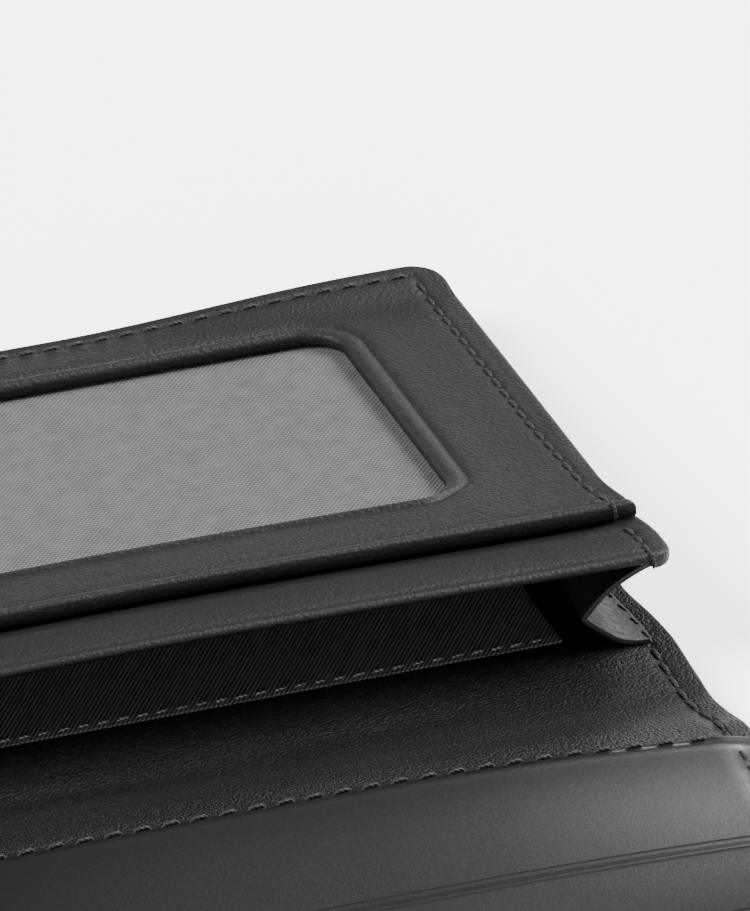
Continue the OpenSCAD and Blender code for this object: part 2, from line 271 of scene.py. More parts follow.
@dataclass
class Sheet:
    """A flat piece of leather or cloth with rounded edges, relief on its upper face and a soft lie."""

    name: str
    box: Box
    z: float
    thick: float
    step: float = 2.0
    r_low: float = 0.0
    r_high: float = 0.0
    hole: Box | None = None
    hole_r: float = 0.0
    round_top: float = 0.3
    round_low: float = 0.15
    square_low: bool = False
    square_high: bool = False
    marks_x: tuple[float, ...] = ()
    marks_y: tuple[float, ...] = ()

    def build(
        self, relief: Field | None = None, lie: Callable[[Array], Array] | None = None, belly: Field | None = None
    ) -> Obj:
        """Makes the sheet.

        Args:
            relief: Height added to the upper face at x and y.
            lie: Moves all the points, from the flat sheet to where it lies.
            belly: Thickness added under the lower face at x and y.

        Returns:
            The new object, with its mesh in millimetres.
        """
        x0, x1, y0, y1 = self.box
        near = EDGE_LINES * self.round_top
        marks_x, marks_y = list(self.marks_x), list(self.marks_y)
        if self.hole:
            marks_x += [*(self.hole[0] - near), *(self.hole[1] + near)]
            marks_y += [*(self.hole[2] - near), *(self.hole[3] + near)]
        xs = grid_lines(x0, x1, self.step, self.round_top, marks_x)
        ys = grid_lines(y0, y1, self.step, self.round_top, marks_y)
        obj = add_grid(self.name, xs, ys)
        if self.hole:
            a, b, c, d = self.hole
            select_faces(obj, lambda p: a < p.x < b and c < p.y < d)
            bpy.ops.mesh.delete(type="FACE")
            bpy.ops.object.mode_set(mode="OBJECT")
        co = read_points(obj)
        for sx in (-1, 1):
            for sy, r in ((-1, self.r_low), (1, self.r_high)):
                if r > 0:
                    cx = x1 - r if sx > 0 else x0 + r
                    cy = y1 - r if sy > 0 else y0 + r
                    round_outer_corner(co, cx, cy, sx, sy, r)
                if self.hole and self.hole_r > 0:
                    cx = self.hole[1] - self.hole_r if sx > 0 else self.hole[0] + self.hole_r
                    cy = self.hole[3] - self.hole_r if sy > 0 else self.hole[2] + self.hole_r
                    round_hole_corner(co, cx, cy, sx, sy, self.hole_r)
        write_points(obj, co)
        thicken(self.thick)
        co = read_points(obj)
        x, y = co[:, 0].copy(), co[:, 1].copy()
        # a cut end keeps its square edge, so the outline that rounds the edges runs on well past it
        reach = 50.0
        outline = (x0, x1, y0 - reach * self.square_low, y1 + reach * self.square_high)
        inwards = edge_distance(x, y, outline, self.r_low * (not self.square_low), self.r_high * (not self.square_high))
        if self.hole:
            inwards = np.minimum(inwards, -edge_distance(x, y, self.hole, self.hole_r, self.hole_r))
        top = co[:, 2] > self.thick / 2
        height = -roll_off(inwards, self.round_top)
        if relief is not None:
            height = height + relief(x, y)
        under = roll_off(inwards, self.round_low)
        if belly is not None:
            under = under - belly(x, y)
        co[:, 2] = np.where(top, co[:, 2] + height, co[:, 2] + under) + self.z
        if lie is not None:
            co = lie(co)
        write_points(obj, co)
        return obj


def joined_copies(name: str, template: Obj, places: Sequence[Matrix]) -> Obj:
    """One object that holds a copy of the template's mesh at each place; the template is removed."""
    co = read_points(template)
    faces = [tuple(p.vertices) for p in template.data.polygons]
    homogeneous = np.hstack([co, np.ones((len(co), 1))])
    points = np.vstack([(homogeneous @ np.array(m).T)[:, :3] for m in places])
    all_faces = [tuple(i + k * len(co) for i in f) for k in range(len(places)) for f in faces]
    mesh = bpy.data.meshes.new(name)
    mesh.from_pydata(points.tolist(), [], all_faces)
    obj = bpy.data.objects.new(name, mesh)
    bpy.context.scene.collection.objects.link(obj)
    bpy.data.objects.remove(template)
    return obj


# ---------------------------------------------------------------- materials


def linear(hex_colour: str) -> tuple[float, float, float, float]:
    """An sRGB hex colour as linear red, green, blue and alpha."""
    parts = [int(hex_colour.lstrip("#")[i : i + 2], 16) / 255 for i in (0, 2, 4)]
    r, g, b = (c / 12.92 if c <= 0.04045 else ((c + 0.055) / 1.055) ** 2.4 for c in parts)
    return (r, g, b, 1.0)


class Face(Enum):
    """Which face of the hide shows."""

    GRAIN = "grain side"
    FLESH = "flesh side"


class NodeBench:
    """A material's node tree, with one way to add a node."""

    def __init__(self, name: str) -> None:
        """Starts a material that holds just a shader and its output."""
        self.material = bpy.data.materials.new(name)
        self.material.use_nodes = True
        self.tree = self.material.node_tree
        self.tree.nodes.clear()
        self.shader = self.add("ShaderNodeBsdfPrincipled")
        output = self.add("ShaderNodeOutputMaterial")
        self.tree.links.new(self.shader.outputs[0], output.inputs["Surface"])

    def add(self, kind: str, settings: dict | None = None, inputs: dict | None = None) -> bpy.types.Node:
        """Adds a node.

        Args:
            kind: The node's type.
            settings: Its properties.
            inputs: Values or output sockets for its inputs, by name or number.

        Returns:
            The node.
        """
        node = self.tree.nodes.new(kind)
        for key, value in (settings or {}).items():
            setattr(node, key, value)
        for key, value in (inputs or {}).items():
            if isinstance(value, bpy.types.NodeSocket):
                self.tree.links.new(value, node.inputs[key])
            else:
                node.inputs[key].default_value = value
        return node

    def coordinates(
        self, turn_deg: float = 0.0, stretch: tuple[float, float, float] = (1, 1, 1)
    ) -> bpy.types.NodeSocket:
        """Object coordinates in millimetres, turned about Z and stretched."""
        place = self.add("ShaderNodeTexCoord")
        scale = tuple(s / MM for s in stretch)
        return self.add(
            "ShaderNodeMapping",
            None,
            {"Vector": place.outputs["Object"], "Rotation": (0, 0, math.radians(turn_deg)), "Scale": scale},
        ).outputs[0]

    def weigh(self, *parts: tuple[bpy.types.NodeSocket, float], start: float | None = None) -> bpy.types.NodeSocket:
        """Adds up a surface's patterns.

        Args:
            parts: Each pattern with its weight.
            start: A number that the sum starts from.

        Returns:
            The sum.
        """
        total = start
        for value, weight in parts:
            share = self.add("ShaderNodeMath", {"operation": "MULTIPLY"}, {0: value, 1: weight}).outputs[0]
            if total is None:
                total = share
            else:
                total = self.add("ShaderNodeMath", {"operation": "ADD"}, {0: share, 1: total}).outputs[0]
        return total

    def tint(self, value: bpy.types.NodeSocket, dark: str, light: str) -> None:
        """Colours the shader between two hex colours."""
        ramp = self.add("ShaderNodeValToRGB", None, {"Fac": value})
        ramp.color_ramp.elements[0].color = linear(dark)
        ramp.color_ramp.elements[1].color = linear(light)
        self.tree.links.new(ramp.outputs[0], self.shader.inputs["Base Color"])

    def bump(self, layers: Sequence[tuple[bpy.types.NodeSocket, float]]) -> None:
        """Raises the surface by several heights, each with its depth in millimetres."""
        previous = None
        for height, depth in layers:
            inputs = {"Height": height, "Strength": 1.0, "Distance": depth * MM}
            if previous is not None:
                inputs["Normal"] = previous
            previous = self.add("ShaderNodeBump", None, inputs).outputs[0]
        self.tree.links.new(previous, self.shader.inputs["Normal"])

    def rough(self, value: bpy.types.NodeSocket, low: float, high: float) -> None:
        """Drives the roughness between two values."""
        spread = self.add("ShaderNodeMapRange", None, {"Value": value, "To Min": low, "To Max": high})
        self.tree.links.new(spread.outputs[0], self.shader.inputs["Roughness"])

    def constant(self, **sockets: float) -> None:
        """Sets numbers on the shader's own sockets; an underscore stands for a space."""
        for name, value in sockets.items():
            self.shader.inputs[name.replace("_", " ")].default_value = value


@dataclass(frozen=True)
class Leather:
    """Dyed and finished cattle leather: a dark body, a thin satin film and a grain that breaks the gloss."""

    name: str
    dark: str
    light: str
    face: Face
    cell_mm: float
    depth_mm: float
    gloss: tuple[float, float]
    specular: float = 0.5
    wrinkle_mm: float = 0.0

    def make(self) -> Mat:
        """Builds the material."""
        bench = NodeBench(self.name)
        flat = bench.coordinates()
        sway = bench.add("ShaderNodeTexNoise", None, {"Vector": flat, "Scale": 0.9 / self.cell_mm, "Detail": 2.0})
        reach = (0.55 * self.cell_mm,) * 3
        place = bench.add(
            "ShaderNodeVectorMath", {"operation": "MULTIPLY_ADD"}, {0: sway.outputs["Color"], 1: reach, 2: flat}
        ).outputs[0]
        cells = bench.add(
            "ShaderNodeTexVoronoi",
            {"feature": "SMOOTH_F1"},
            {"Vector": place, "Scale": 1 / self.cell_mm, "Smoothness": 0.5, "Randomness": 1.0},
        ).outputs["Distance"]
        fine = bench.add(
            "ShaderNodeTexNoise", None, {"Vector": place, "Scale": 1 / (self.cell_mm * 0.4), "Detail": 3.0}
        ).outputs[0]
        broad = bench.add("ShaderNodeTexNoise", None, {"Vector": flat, "Scale": 0.07, "Detail": 3.0}).outputs[0]
        grain = bench.weigh((cells, -0.9), start=0.75)
        bench.tint(bench.weigh((grain, 0.6), (broad, 0.4)), self.dark, self.light)
        bench.rough(bench.weigh((cells, 0.7), (broad, 0.3)), *self.gloss)
        layers = [(cells, -self.depth_mm), (fine, self.depth_mm * 0.6)]
        if self.wrinkle_mm > 0:
            streak = bench.coordinates(4.0, (0.2, 1.0, 1.0))
            wrinkle = bench.add(
                "ShaderNodeTexNoise", None, {"Vector": streak, "Scale": 0.6, "Detail": 4.0, "Distortion": 0.8}
            )
            layers.append((wrinkle.outputs[0], self.wrinkle_mm))
        if self.face is Face.FLESH:
            bench.constant(Sheen_Weight=0.08, Sheen_Roughness=0.5)
        bench.bump(layers)
        bench.constant(IOR=1.5, Specular_IOR_Level=self.specular)
        return bench.material


@dataclass(frozen=True)
class Twill:
    """Black polyester twill: slanting ribs with a painted highlight along their tops, the whole cloth painted grey to
    stand in for light.
    """

    name: str
    dark: str
    light: str
    rib_mm: float
    turn_deg: float

    def make(self) -> Mat:
        """Builds the material."""
        bench = NodeBench(self.name)
        ribs = bench.add(
            "ShaderNodeTexWave",
            BANDS,
            {
                "Vector": bench.coordinates(self.turn_deg),
                "Scale": BAND_SCALE / self.rib_mm,
                "Distortion": 0.4,
                "Detail": 1.0,
            },
        ).outputs["Fac"]
        yarn = bench.add(
            "ShaderNodeTexWave",
            BANDS,
            {
                "Vector": bench.coordinates(self.turn_deg + 62),
                "Scale": BAND_SCALE / (self.rib_mm * 0.5),
                "Distortion": 0.3,
            },
        ).outputs["Fac"]
        weave = bench.weigh((ribs, 0.85), (yarn, 0.15))
        # painted highlight: rib tops take the light colour, and both colours are far lighter than black cloth, standing
        # in for light
        bench.tint(weave, self.dark, self.light)
        bench.rough(weave, 0.75, 0.6)
        bench.bump([(weave, 0.09)])
        bench.constant(Sheen_Weight=0.03, Sheen_Roughness=0.4, Specular_IOR_Level=0.2)
        return bench.material


@dataclass(frozen=True)
class PlainWeave:
    """Fine grey lining cloth behind the window: tiny diagonal beads of yarn with a matt, even tone."""

    name: str
    dark: str
    light: str
    pitch_mm: float

    def make(self) -> Mat:
        """Builds the material."""
        bench = NodeBench(self.name)
        waves = [
            bench.add(
                "ShaderNodeTexWave",
                BANDS,
                {
                    "Vector": bench.coordinates(turn),
                    "Scale": BAND_SCALE / self.pitch_mm,
                    "Distortion": 0.25,
                    "Detail": 1.0,
                },
            ).outputs["Fac"]
            for turn in (38.0, -52.0)
        ]
        weave = bench.add("ShaderNodeMath", {"operation": "MULTIPLY"}, {0: waves[0], 1: waves[1]}).outputs[0]
        place = bench.coordinates()
        cloud = bench.add("ShaderNodeTexNoise", None, {"Vector": place, "Scale": 0.5, "Detail": 2.0}).outputs[0]
        bench.tint(bench.weigh((weave, 0.7), (cloud, 0.3)), self.dark, self.light)
        bench.bump([(weave, 0.1)])
        bench.constant(Roughness=0.85, Sheen_Weight=0.06, Specular_IOR_Level=0.25)
        return bench.material


@dataclass(frozen=True)
class Thread:
    """Bonded polyester thread: two twisted plies, dark, with a small wet glint and a painted highlight along the twist.
    """

    name: str
    dark: str
    light: str
    roughness: float = 0.6
    specular: float = 0.15
    twist_mm: float = 0.3

    def make(self) -> Mat:
        """Builds the material."""
        bench = NodeBench(self.name)
        twist = bench.add(
            "ShaderNodeTexWave",
            {**BANDS, "bands_direction": "DIAGONAL"},
            {"Vector": bench.coordinates(), "Scale": BAND_SCALE / self.twist_mm, "Distortion": 0.2},
        ).outputs["Fac"]
        # painted highlight: the bands along the twist take the light colour
        bench.tint(twist, self.dark, self.light)
        bench.bump([(twist, 0.04)])
        bench.constant(Roughness=self.roughness, Specular_IOR_Level=self.specular)
        return bench.material


@dataclass(frozen=True)
class Film:
    """Clear soft vinyl film: almost unseen, with a faint gloss."""

    name: str

    def make(self) -> Mat:
        """Builds the material."""
        bench = NodeBench(self.name)
        place = bench.coordinates()
        ripple = bench.add("ShaderNodeTexNoise", None, {"Vector": place, "Scale": 0.06, "Detail": 1.0}).outputs[0]
        bench.tint(ripple, "#1c1e20", "#2a2c2e")
        bench.bump([(ripple, 0.15)])
        bench.constant(Roughness=0.35, Alpha=0.06, IOR=1.45)
        return bench.material


@dataclass(frozen=True)
class Paint:
    """Plain matt surface of the studio floor."""

    name: str
    colour: str
    roughness: float

    def make(self) -> Mat:
        """Builds the material."""
        bench = NodeBench(self.name)
        bench.constant(Base_Color=linear(self.colour), Roughness=self.roughness, Specular_IOR_Level=0.0)
        return bench.material


class Finishes:
    """Every material of the wallet, made once."""

    def __init__(self) -> None:
        """Makes the materials."""
        grain, flesh = Face.GRAIN, Face.FLESH
        # dyed calf with a fine grain: an even black with a soft satin
        self.pocket = Leather(
            "pocket_calf_fine_grain", "#080808", "#18181a", grain, 0.38, 0.06, (0.44, 0.6), 0.12
        ).make()
        # soft cowhide with small pebbles and pulled wrinkles: broken satin that goes grey where it turns to the light
        self.liner = Leather(
            "liner_pebbled_cowhide", "#010101", "#0e0e0f", grain, 0.3, 0.13, (0.34, 0.5), 0.12, 0.04
        ).make()
        # smooth finished calf: nearly no grain, and a broad clear highlight
        self.slot = Leather("slot_smooth_calf", "#050505", "#0a0a0a", grain, 0.35, 0.004, (0.28, 0.34), 0.3).make()
        # thicker cowhide of the outside: duller, with larger pebbles
        self.shell = Leather("shell_pebbled_cowhide", "#0b0b0c", "#1b1b1c", grain, 0.7, 0.15, (0.4, 0.56), 0.2).make()
        # thin calf, soft enough to fold: matt black
        self.gusset = Leather("gusset_thin_calf", "#0e0e0f", "#1c1c1c", grain, 0.45, 0.04, (0.5, 0.65), 0.25).make()
        # raw back of the gusset: short grey-black nap without gloss
        self.flesh = Leather("gusset_flesh_side", "#101011", "#3c3c3e", flesh, 0.8, 0.35, (0.85, 0.95), 0.2).make()
        # pressed leather fibre of the stiffening boards: dull brown and fibrous
        self.board = Leather("bonded_leather_board", "#4a3a2c", "#5f4b39", flesh, 0.7, 0.05, (0.8, 0.9), 0.3).make()
        # black polyester twill, its ribs 0.4 mm apart: the slanting grey lines on black are a painted highlight along
        # the rib tops
        self.twill = Twill("black_twill", "#1b1b1c", "#59595d", 0.4, 35.0).make()
        # plain woven lining, its yarns 0.4 mm apart: an even matt grey of fine beads
        self.cloth = PlainWeave("window_grey_cloth", "#060607", "#606062", 0.4).make()
        # bonded polyester sewing thread: black and nearly matt
        self.thread = Thread("black_bonded_thread", "#0c0c0d", "#1c1c1e").make()
        # finer thread of the seam at the pocket's floor: painted grey and light along its twist as a painted glint,
        # besides the real glint of its gloss
        self.bright_thread = Thread("floor_seam_thread", "#2a2a2b", "#8a8a8c", 0.35, 0.5).make()
        # calendered soft vinyl: almost unseen, with a faint gloss
        self.film = Film("clear_vinyl_film").make()
        # matt white paper sweep under the wallet
        self.floor = Paint("studio_floor", "#ffffff", 0.9).make()


# ---------------------------------------------------------------- where everything is


@dataclass
class Layout:
    """Places and sizes read from the frame, in millimetres."""

    half: float
    end_a: float
    fold_a: float
    fold_ab: float
    fold_bc: float
    fold_c: float
    end_c: float
    base_t: float
    shell_t: float
    liner_z: float
    pivot_y: float
    pivot_z: float
    open_angle: float
    swell_height: float = 4.0
    swell_half: float = 58.0

    @classmethod
    def read(cls, frame: dict) -> "Layout":
        """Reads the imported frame."""
        joints = {j["name"]: j for j in frame["joints"]}
        at = {name: [p / MM for p in j["pos_m"]] for name, j in joints.items()}
        high_a = corners("outer_shell_a")[1]
        low_c = corners("outer_shell_c")[0]
        low_liner, high_liner = corners("inner_liner_a")
        return cls(
            half=high_a.x,
            end_a=high_a.y,
            fold_a=at["fold_ab_flap"][1],
            fold_ab=at["fold_ab_centre"][1],
            fold_bc=at["fold_bc_centre"][1],
            fold_c=at["fold_bc_flap"][1],
            end_c=low_c.y,
            base_t=high_liner.z,
            shell_t=high_a.z,
            liner_z=low_liner.z,
            pivot_y=at["pocket_mouth"][1],
            pivot_z=at["pocket_mouth"][2],
            open_angle=math.radians(joints["pocket_mouth"]["range_deg"][1]),
        )

    def pocket_box(self, node: str, frame: dict, inside: Box | None = None) -> tuple[Vector, Vector]:
        """Low and high corner of a pocket node in the pocket's own flat coordinates.

        Args:
            node: The CAD node's name.
            frame: The loaded frame.
            inside: If given, only points strictly within these x and y limits count.

        Returns:
            The two corners, in millimetres.
        """
        co = read_points(frame["nodes"][node]) / MM
        y, z = co[:, 1] - self.pivot_y, co[:, 2] - self.pivot_z
        c, s = math.cos(self.open_angle), math.sin(self.open_angle)
        flat = np.column_stack([co[:, 0], y * c - z * s, y * s + z * c])
        if inside:
            x, y = flat[:, 0], flat[:, 1]
            flat = flat[(x > inside[0]) & (x < inside[1]) & (y > inside[2]) & (y < inside[3])]
        return Vector(flat.min(0)), Vector(flat.max(0))

    def flare(self, co: Array) -> Array:
        """Spreads the ends of the centre panel a little past those of the pocket flap."""
        out = co.copy()
        y = co[:, 1] - self.fold_a
        spread = -0.5 * smooth(y, 8, 15) + 1.3 * smooth(y, 14, 2) + 1.4 * smooth(y, -8, -16)
        spread = spread * (1 - 0.85 * smooth(co[:, 1], self.fold_ab - 8, self.fold_bc))
        spread = spread * (1 - smooth(co[:, 1], self.fold_bc + 25, self.fold_bc + 2))
        out[:, 0] += np.sign(co[:, 0]) * spread * (np.abs(co[:, 0]) / self.half) ** 5
        return out

    def swell(self, x: Array, y: Array) -> Array:
        """How far the liner and card slots stand up off the shell beside the fold, held down at the sewn ends."""
        crown = self.swell_height * np.maximum(1 - (np.abs(x) / self.swell_half) ** 3.2, 0)
        across = crown * (1 - 0.5 * smooth(np.abs(x), self.half - 4, self.half + 2))
        along = smooth(y, self.fold_a - 3, self.fold_ab - 1.5) * smooth(y, self.fold_ab - 34, self.fold_ab - 3)
        far_fold = 0.5 * np.exp(-(((y - (self.fold_bc + self.fold_c) / 2) / 7.0) ** 2))
        return across * (along + far_fold)

    def lie_inner(self, co: Array) -> Array:
        """Where the liner, slots and their seams lie."""
        out = self.flare(co)
        out[:, 2] += self.swell(co[:, 0], co[:, 1])
        return out

    def lie_pocket(self, co: Array) -> Array:
        """Opens the flat pocket about its far edge and gives its layers their soft lie."""
        out = co.copy()
        x, s = np.abs(co[:, 0]), -co[:, 1]
        mouth = smooth(s, 10, 60)
        far = 1 - smooth(s, 0.0, 6.5)
        corner = smooth(x, 8, 42)
        side = smooth(x, self.half - 16, self.half) * mouth
        lift = mouth * (0.4 * (1 - smooth(x, 0, 40)) - 0.25 * smooth(x, 25, self.half)) + 0.9 * far * corner
        out[:, 0] += np.sign(co[:, 0]) * 1.95 * side * smooth(s, 52, 64)
        y = co[:, 1] + 0.9 * far * corner
        z = co[:, 2] + lift
        c, sn = math.cos(self.open_angle), math.sin(self.open_angle)
        out[:, 1] = self.pivot_y + y * c + z * sn
        out[:, 2] = self.pivot_z - y * sn + z * c
        return out


@dataclass
class Bend:
    """A fold of the leather: two bodies and the stretch along Y in which one turns into the other."""

    first: str
    second: str
    start_y: float
    end_y: float


def finish_piece(
    obj: Obj,
    material: Mat,
    body: str | None = None,
    bend: Bend | None = None,
    stands_for: Sequence[str] = (),
) -> Obj:
    """Turns a piece to metres, dresses it, and ties it to its body, or across a fold only bakes it in place.

    Args:
        obj: The piece, with its mesh in millimetres.
        material: Its finish.
        body: The body it rides on, or None with a bend.
        bend: The fold that it crosses.
        stands_for: CAD nodes that it replaces.

    Returns:
        The piece.
    """
    obj.data.transform(Matrix.Scale(MM, 4))
    obj.data.update()
    activate(obj)
    bpy.ops.object.shade_smooth_by_angle(angle=math.radians(SHARP_DEG))
    if not obj.data.materials:
        obj.data.materials.append(material)
    if bend is not None:
        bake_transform(obj)
    else:
        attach(obj, body)
    if stands_for:
        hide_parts(*stands_for)
    LOG.info("%s: %d faces", obj.name, len(obj.data.polygons))
    return obj


# ---------------------------------------------------------------- seams


@dataclass
class Stitches:
    """A row of stitches whose threads sink into the leather at both ends."""

    pitch: float = 2.65
    length: float = 2.25
    thick: float = 0.42
    slant_deg: float = 9.0

    def centres(self, *points: Vector) -> list[Place]:
        """Centre and direction of each stitch along the straight runs between the points."""
        ends = np.cumsum([0.0] + [(b - a).length for a, b in zip(points[:-1], points[1:])])
        count = max(1, int(ends[-1] / self.pitch))
        start = (ends[-1] - count * self.pitch) / 2
        places = []
        for i in range(count):
            at = start + (i + 0.5) * self.pitch
            run = min(int(np.searchsorted(ends, at)) - 1, len(points) - 2)
            way = (points[run + 1] - points[run]).normalized()
            places.append((points[run] + way * (at - ends[run]), way))
        return places

    def over_edge(self, x: float, y: float, low: float, high: float) -> Place:
        """A stitch that wraps down over an edge that faces -Y."""
        return Vector((x, y, (low + high) / 2 + 0.1)), Vector((0, -0.25, -0.97))

    def template(self) -> Obj:
        """One thread: a slim rounded bar along X whose ends bend down."""
        deselect()
        bpy.ops.mesh.primitive_cylinder_add(
            vertices=8, radius=self.thick / 2, depth=self.length, end_fill_type="NGON", rotation=(0, math.pi / 2, 0)
        )
        obj = bpy.context.object
        bpy.ops.object.transform_apply(location=True, rotation=True, scale=True)
        bpy.ops.object.mode_set(mode="EDIT")
        for plane in (-0.42, -0.25, 0.0, 0.25, 0.42):
            bpy.ops.mesh.select_all(action="SELECT")
            bpy.ops.mesh.bisect(plane_co=(plane * self.length, 0, 0), plane_no=(1, 0, 0))
        bpy.ops.object.mode_set(mode="OBJECT")
        co = read_points(obj)
        t = np.abs(co[:, 0]) / (self.length / 2)
        slim = 1 - 0.45 * smooth(t, 0.6, 1.0)
        co[:, 1] *= slim
        co[:, 2] = co[:, 2] * slim - 0.38 * smooth(t, 0.5, 1.05)
        write_points(obj, co)
        return obj

    def build(self, name: str, places: Sequence[Place], sink: float = 0.02, flip: bool = False) -> Obj:
        """Makes all the threads of a seam.

        Args:
            name: The piece's name.
            places: Centre on the surface and direction of each stitch.
            sink: How far each thread's axis lies above the surface.
            flip: True where the seam lies on an underside.

        Returns:
            The seam, in millimetres.
        """
        mats = []
        for centre, way in places:
            turn = Matrix.Rotation(math.atan2(way.y, way.x) + math.radians(self.slant_deg), 4, "Z")
            up = Matrix.Rotation(math.pi, 4, "X") if flip else Matrix.Identity(4)
            pitch = Matrix.Rotation(-math.asin(max(-1.0, min(1.0, way.z))), 4, "Y")
            lift = Vector((0, 0, -sink if flip else sink))
            mats.append(Matrix.Translation(centre + lift) @ turn @ pitch @ up)
        return joined_copies(name, self.template(), mats)

    def dimples(self, places: Sequence[Place], depth: float = 0.14, width: float = 0.42) -> Field:
        """Relief that presses a hollow under each stitch and a deeper hole at its ends."""

        def relief(x: Array, y: Array) -> Array:
            """Hollows of all the stitches."""
            out = np.zeros_like(x)
            for centre, way in places:
                near = (np.abs(x - centre.x) < 3) & (np.abs(y - centre.y) < 3)
                if not near.any():
                    continue
                dx, dy = x[near] - centre.x, y[near] - centre.y
                along = np.abs(dx * way.x + dy * way.y)
                across = dx * way.y - dy * way.x
                press = 0.75 + 0.5 * np.exp(-(((along - self.length / 2) / 0.45) ** 2))
                fade = 1 - smooth(along, self.length / 2, self.pitch / 2 + 0.25)
                out[near] -= depth * press * np.exp(-((across / width) ** 2)) * fade
            return out

        return relief


def bent_places(places: Sequence[Place], lie: Callable[[Array], Array]) -> list[Place]:
    """Stitch places moved from the flat sheet to where it lies, with their directions."""
    out = []
    for centre, way in places:
        pair = lie(np.array([list(centre - way), list(centre), list(centre + way)]))
        out.append((Vector(pair[1]), (Vector(pair[2]) - Vector(pair[0])).normalized()))
    return out


# ---------------------------------------------------------------- the wallet's sub-assemblies


@dataclass
class BellowsPocket:
    """The pocket on flap A: ID layer with its window, card layer, linings, gussets and their seams."""

    layout: Layout
    frame: dict
    finishes: Finishes
    crease_back: float = 1.5
    window_crease: float = 2.2
    far_margin: float = 1.9
    side_margins: tuple[float, float] = (3.0, 2.0)
    mid_margin: float = 2.8
    mid_back: float = 8.0
    gusset_thick: float = 0.5

    def build(self) -> None:
        """Builds the whole pocket."""
        self.id_layer()
        self.card_layer()
        self.window()
        self.roof_lining()
        for side in (1, -1):
            self.gusset(side)

    def seam_places(self, box: Box, top: float) -> list[Place]:
        """Stitches along both ends and the far edge of the ID layer, on the flat pocket."""
        x1, y0, y1 = box[1], box[2], box[3]
        wide, narrow = self.side_margins
        rows = []
        stitches = Stitches()
        for side in (-1, 1):
            knee = Vector((side * (x1 - wide), y1 - self.far_margin, top))
            mid = Vector((side * (x1 - self.mid_margin), (y0 + y1) / 2 - self.mid_back, top))
            end = Vector((side * (x1 - narrow), y0 + 0.6, top))
            rows += stitches.centres(knee, mid, end)
        far = y1 - self.far_margin
        rows += stitches.centres(Vector((-x1 + wide, far, top)), Vector((x1 - wide, far, top)))
        return rows

    def id_layer(self) -> None:
        """Top layer with its window: turned mouth edge, creased lip and sewn margins."""
        low, high = self.layout.pocket_box("id_pocket_face", self.frame)
        inner = (low.x + 8, high.x - 8, low.y + 4, high.y - 4)
        hole_low, hole_high = self.layout.pocket_box("id_pocket_face", self.frame, inner)
        box = (low.x - 0.1, high.x + 0.1, low.y, high.y)
        hole = (hole_low.x, hole_high.x, hole_low.y, hole_high.y - 0.7)
        seam = self.seam_places(box, high.z)
        dimples = Stitches().dimples(seam)

        def relief(x: Array, y: Array) -> Array:
            """Creases along the mouth, the seam and the window, and the window's rolled lip."""
            near = y - box[2]
            side = np.minimum(np.minimum(box[1] - x, x - box[0]), box[3] - y)
            lip = -edge_distance(x, y, hole, 4.0, 4.0)
            wide, narrow = self.side_margins
            knee = (box[2] + box[3]) / 2 - self.mid_back
            inset = np.interp(y, [box[2], knee, box[3]], [narrow, self.mid_margin, wide])
            rows = np.minimum(np.minimum(box[1] - x, x - box[0]) - inset, box[3] - y - self.far_margin)
            out = ridge(near, self.crease_back, 0.28, -0.16) + ridge(near, 0.75, 0.5, 0.08)
            out += (ridge(rows, 0.0, 0.4, -0.08) + ridge(rows, -0.55, 0.3, 0.05)) * smooth(side, 0.3, 1.0)
            out += ridge(rows, -1.05, 0.2, -0.13) * smooth(near, 0.0, 1.5)
            flat = smooth(y, hole[2] + 1.5, hole[2] - 0.3)
            out += ridge(lip - self.window_crease + 1.2 * flat, 0.0, 0.28, -0.26 - 0.12 * flat)
            out += ridge(lip, 0.5, 0.25, 0.16) * flat
            beside = smooth(np.abs(x), hole[1] - 2, hole[1] + 0.5)
            out += ridge(lip, 0.9, 0.75, 0.34) * (1 - 0.9 * flat) * (1 - 0.45 * beside)
            out += ridge(lip, 3.6, 1.4, 0.05)
            return out + dimples(x, y)

        row = high.x - 2.7
        marks = (0.0, 0.35, 0.75, 1.2, 1.5, 1.8, 2.2)
        lip_marks = [0.85, 1.15, 1.5, 1.9, 2.2, 2.5, 2.9]
        near_marks = [0.7, 0.85, 1.0, 1.15, 1.35, 1.7]
        sheet = Sheet(
            "id_pocket_layer", box, low.z, high.z - low.z, step=0.62, r_high=3.8, hole=hole, hole_r=4.0,
            round_top=0.45, round_low=0.35,
            marks_x=both_sides(row, SEAM_LINES) + both_sides(hole[1], lip_marks),
            marks_y=tuple(box[2] + m for m in marks)
            + tuple(box[3] - self.far_margin + d for d in (-0.4, -0.2, 0.0, 0.2, 0.4, 1.05))
            + tuple(hole[3] + d for d in lip_marks) + tuple(hole[2] - d for d in near_marks),
        )
        obj = sheet.build(relief, self.layout.lie_pocket, lambda x, y: 0.4 * smooth(y, box[2] + 4.0, box[2] + 2.0))
        finish_piece(obj, self.finishes.pocket, "pocket", stands_for=["id_pocket_face"])
        x = high.x - self.side_margins[1]
        wraps = [Stitches().over_edge(s * x, low.y - 0.02, low.z, high.z) for s in (-1, 1)]
        places = bent_places(seam + wraps, self.layout.lie_pocket)
        threads = Stitches().build("pocket_seam_threads", places, sink=-0.05)
        finish_piece(threads, self.finishes.thread, "pocket", stands_for=["seam_pocket"])

    def card_layer(self) -> None:
        """Lower layer, whose turned edge stands out past the ID layer at the mouth."""
        low, high = self.layout.pocket_box("card_pocket_layer", self.frame)
        box = (low.x, high.x, low.y, high.y)
        top = high.z
        x = high.x - 2.2
        short = Stitches(pitch=2.2, length=1.85)
        rows = []
        id_low = self.layout.pocket_box("id_pocket_face", self.frame)[0]
        for side in (-1, 1):
            start = Vector((side * (high.x - 2.4), id_low.y - 0.4, top))
            rows += short.centres(start, Vector((side * x, low.y + 0.3, top)))
        dimples = Stitches().dimples(rows)

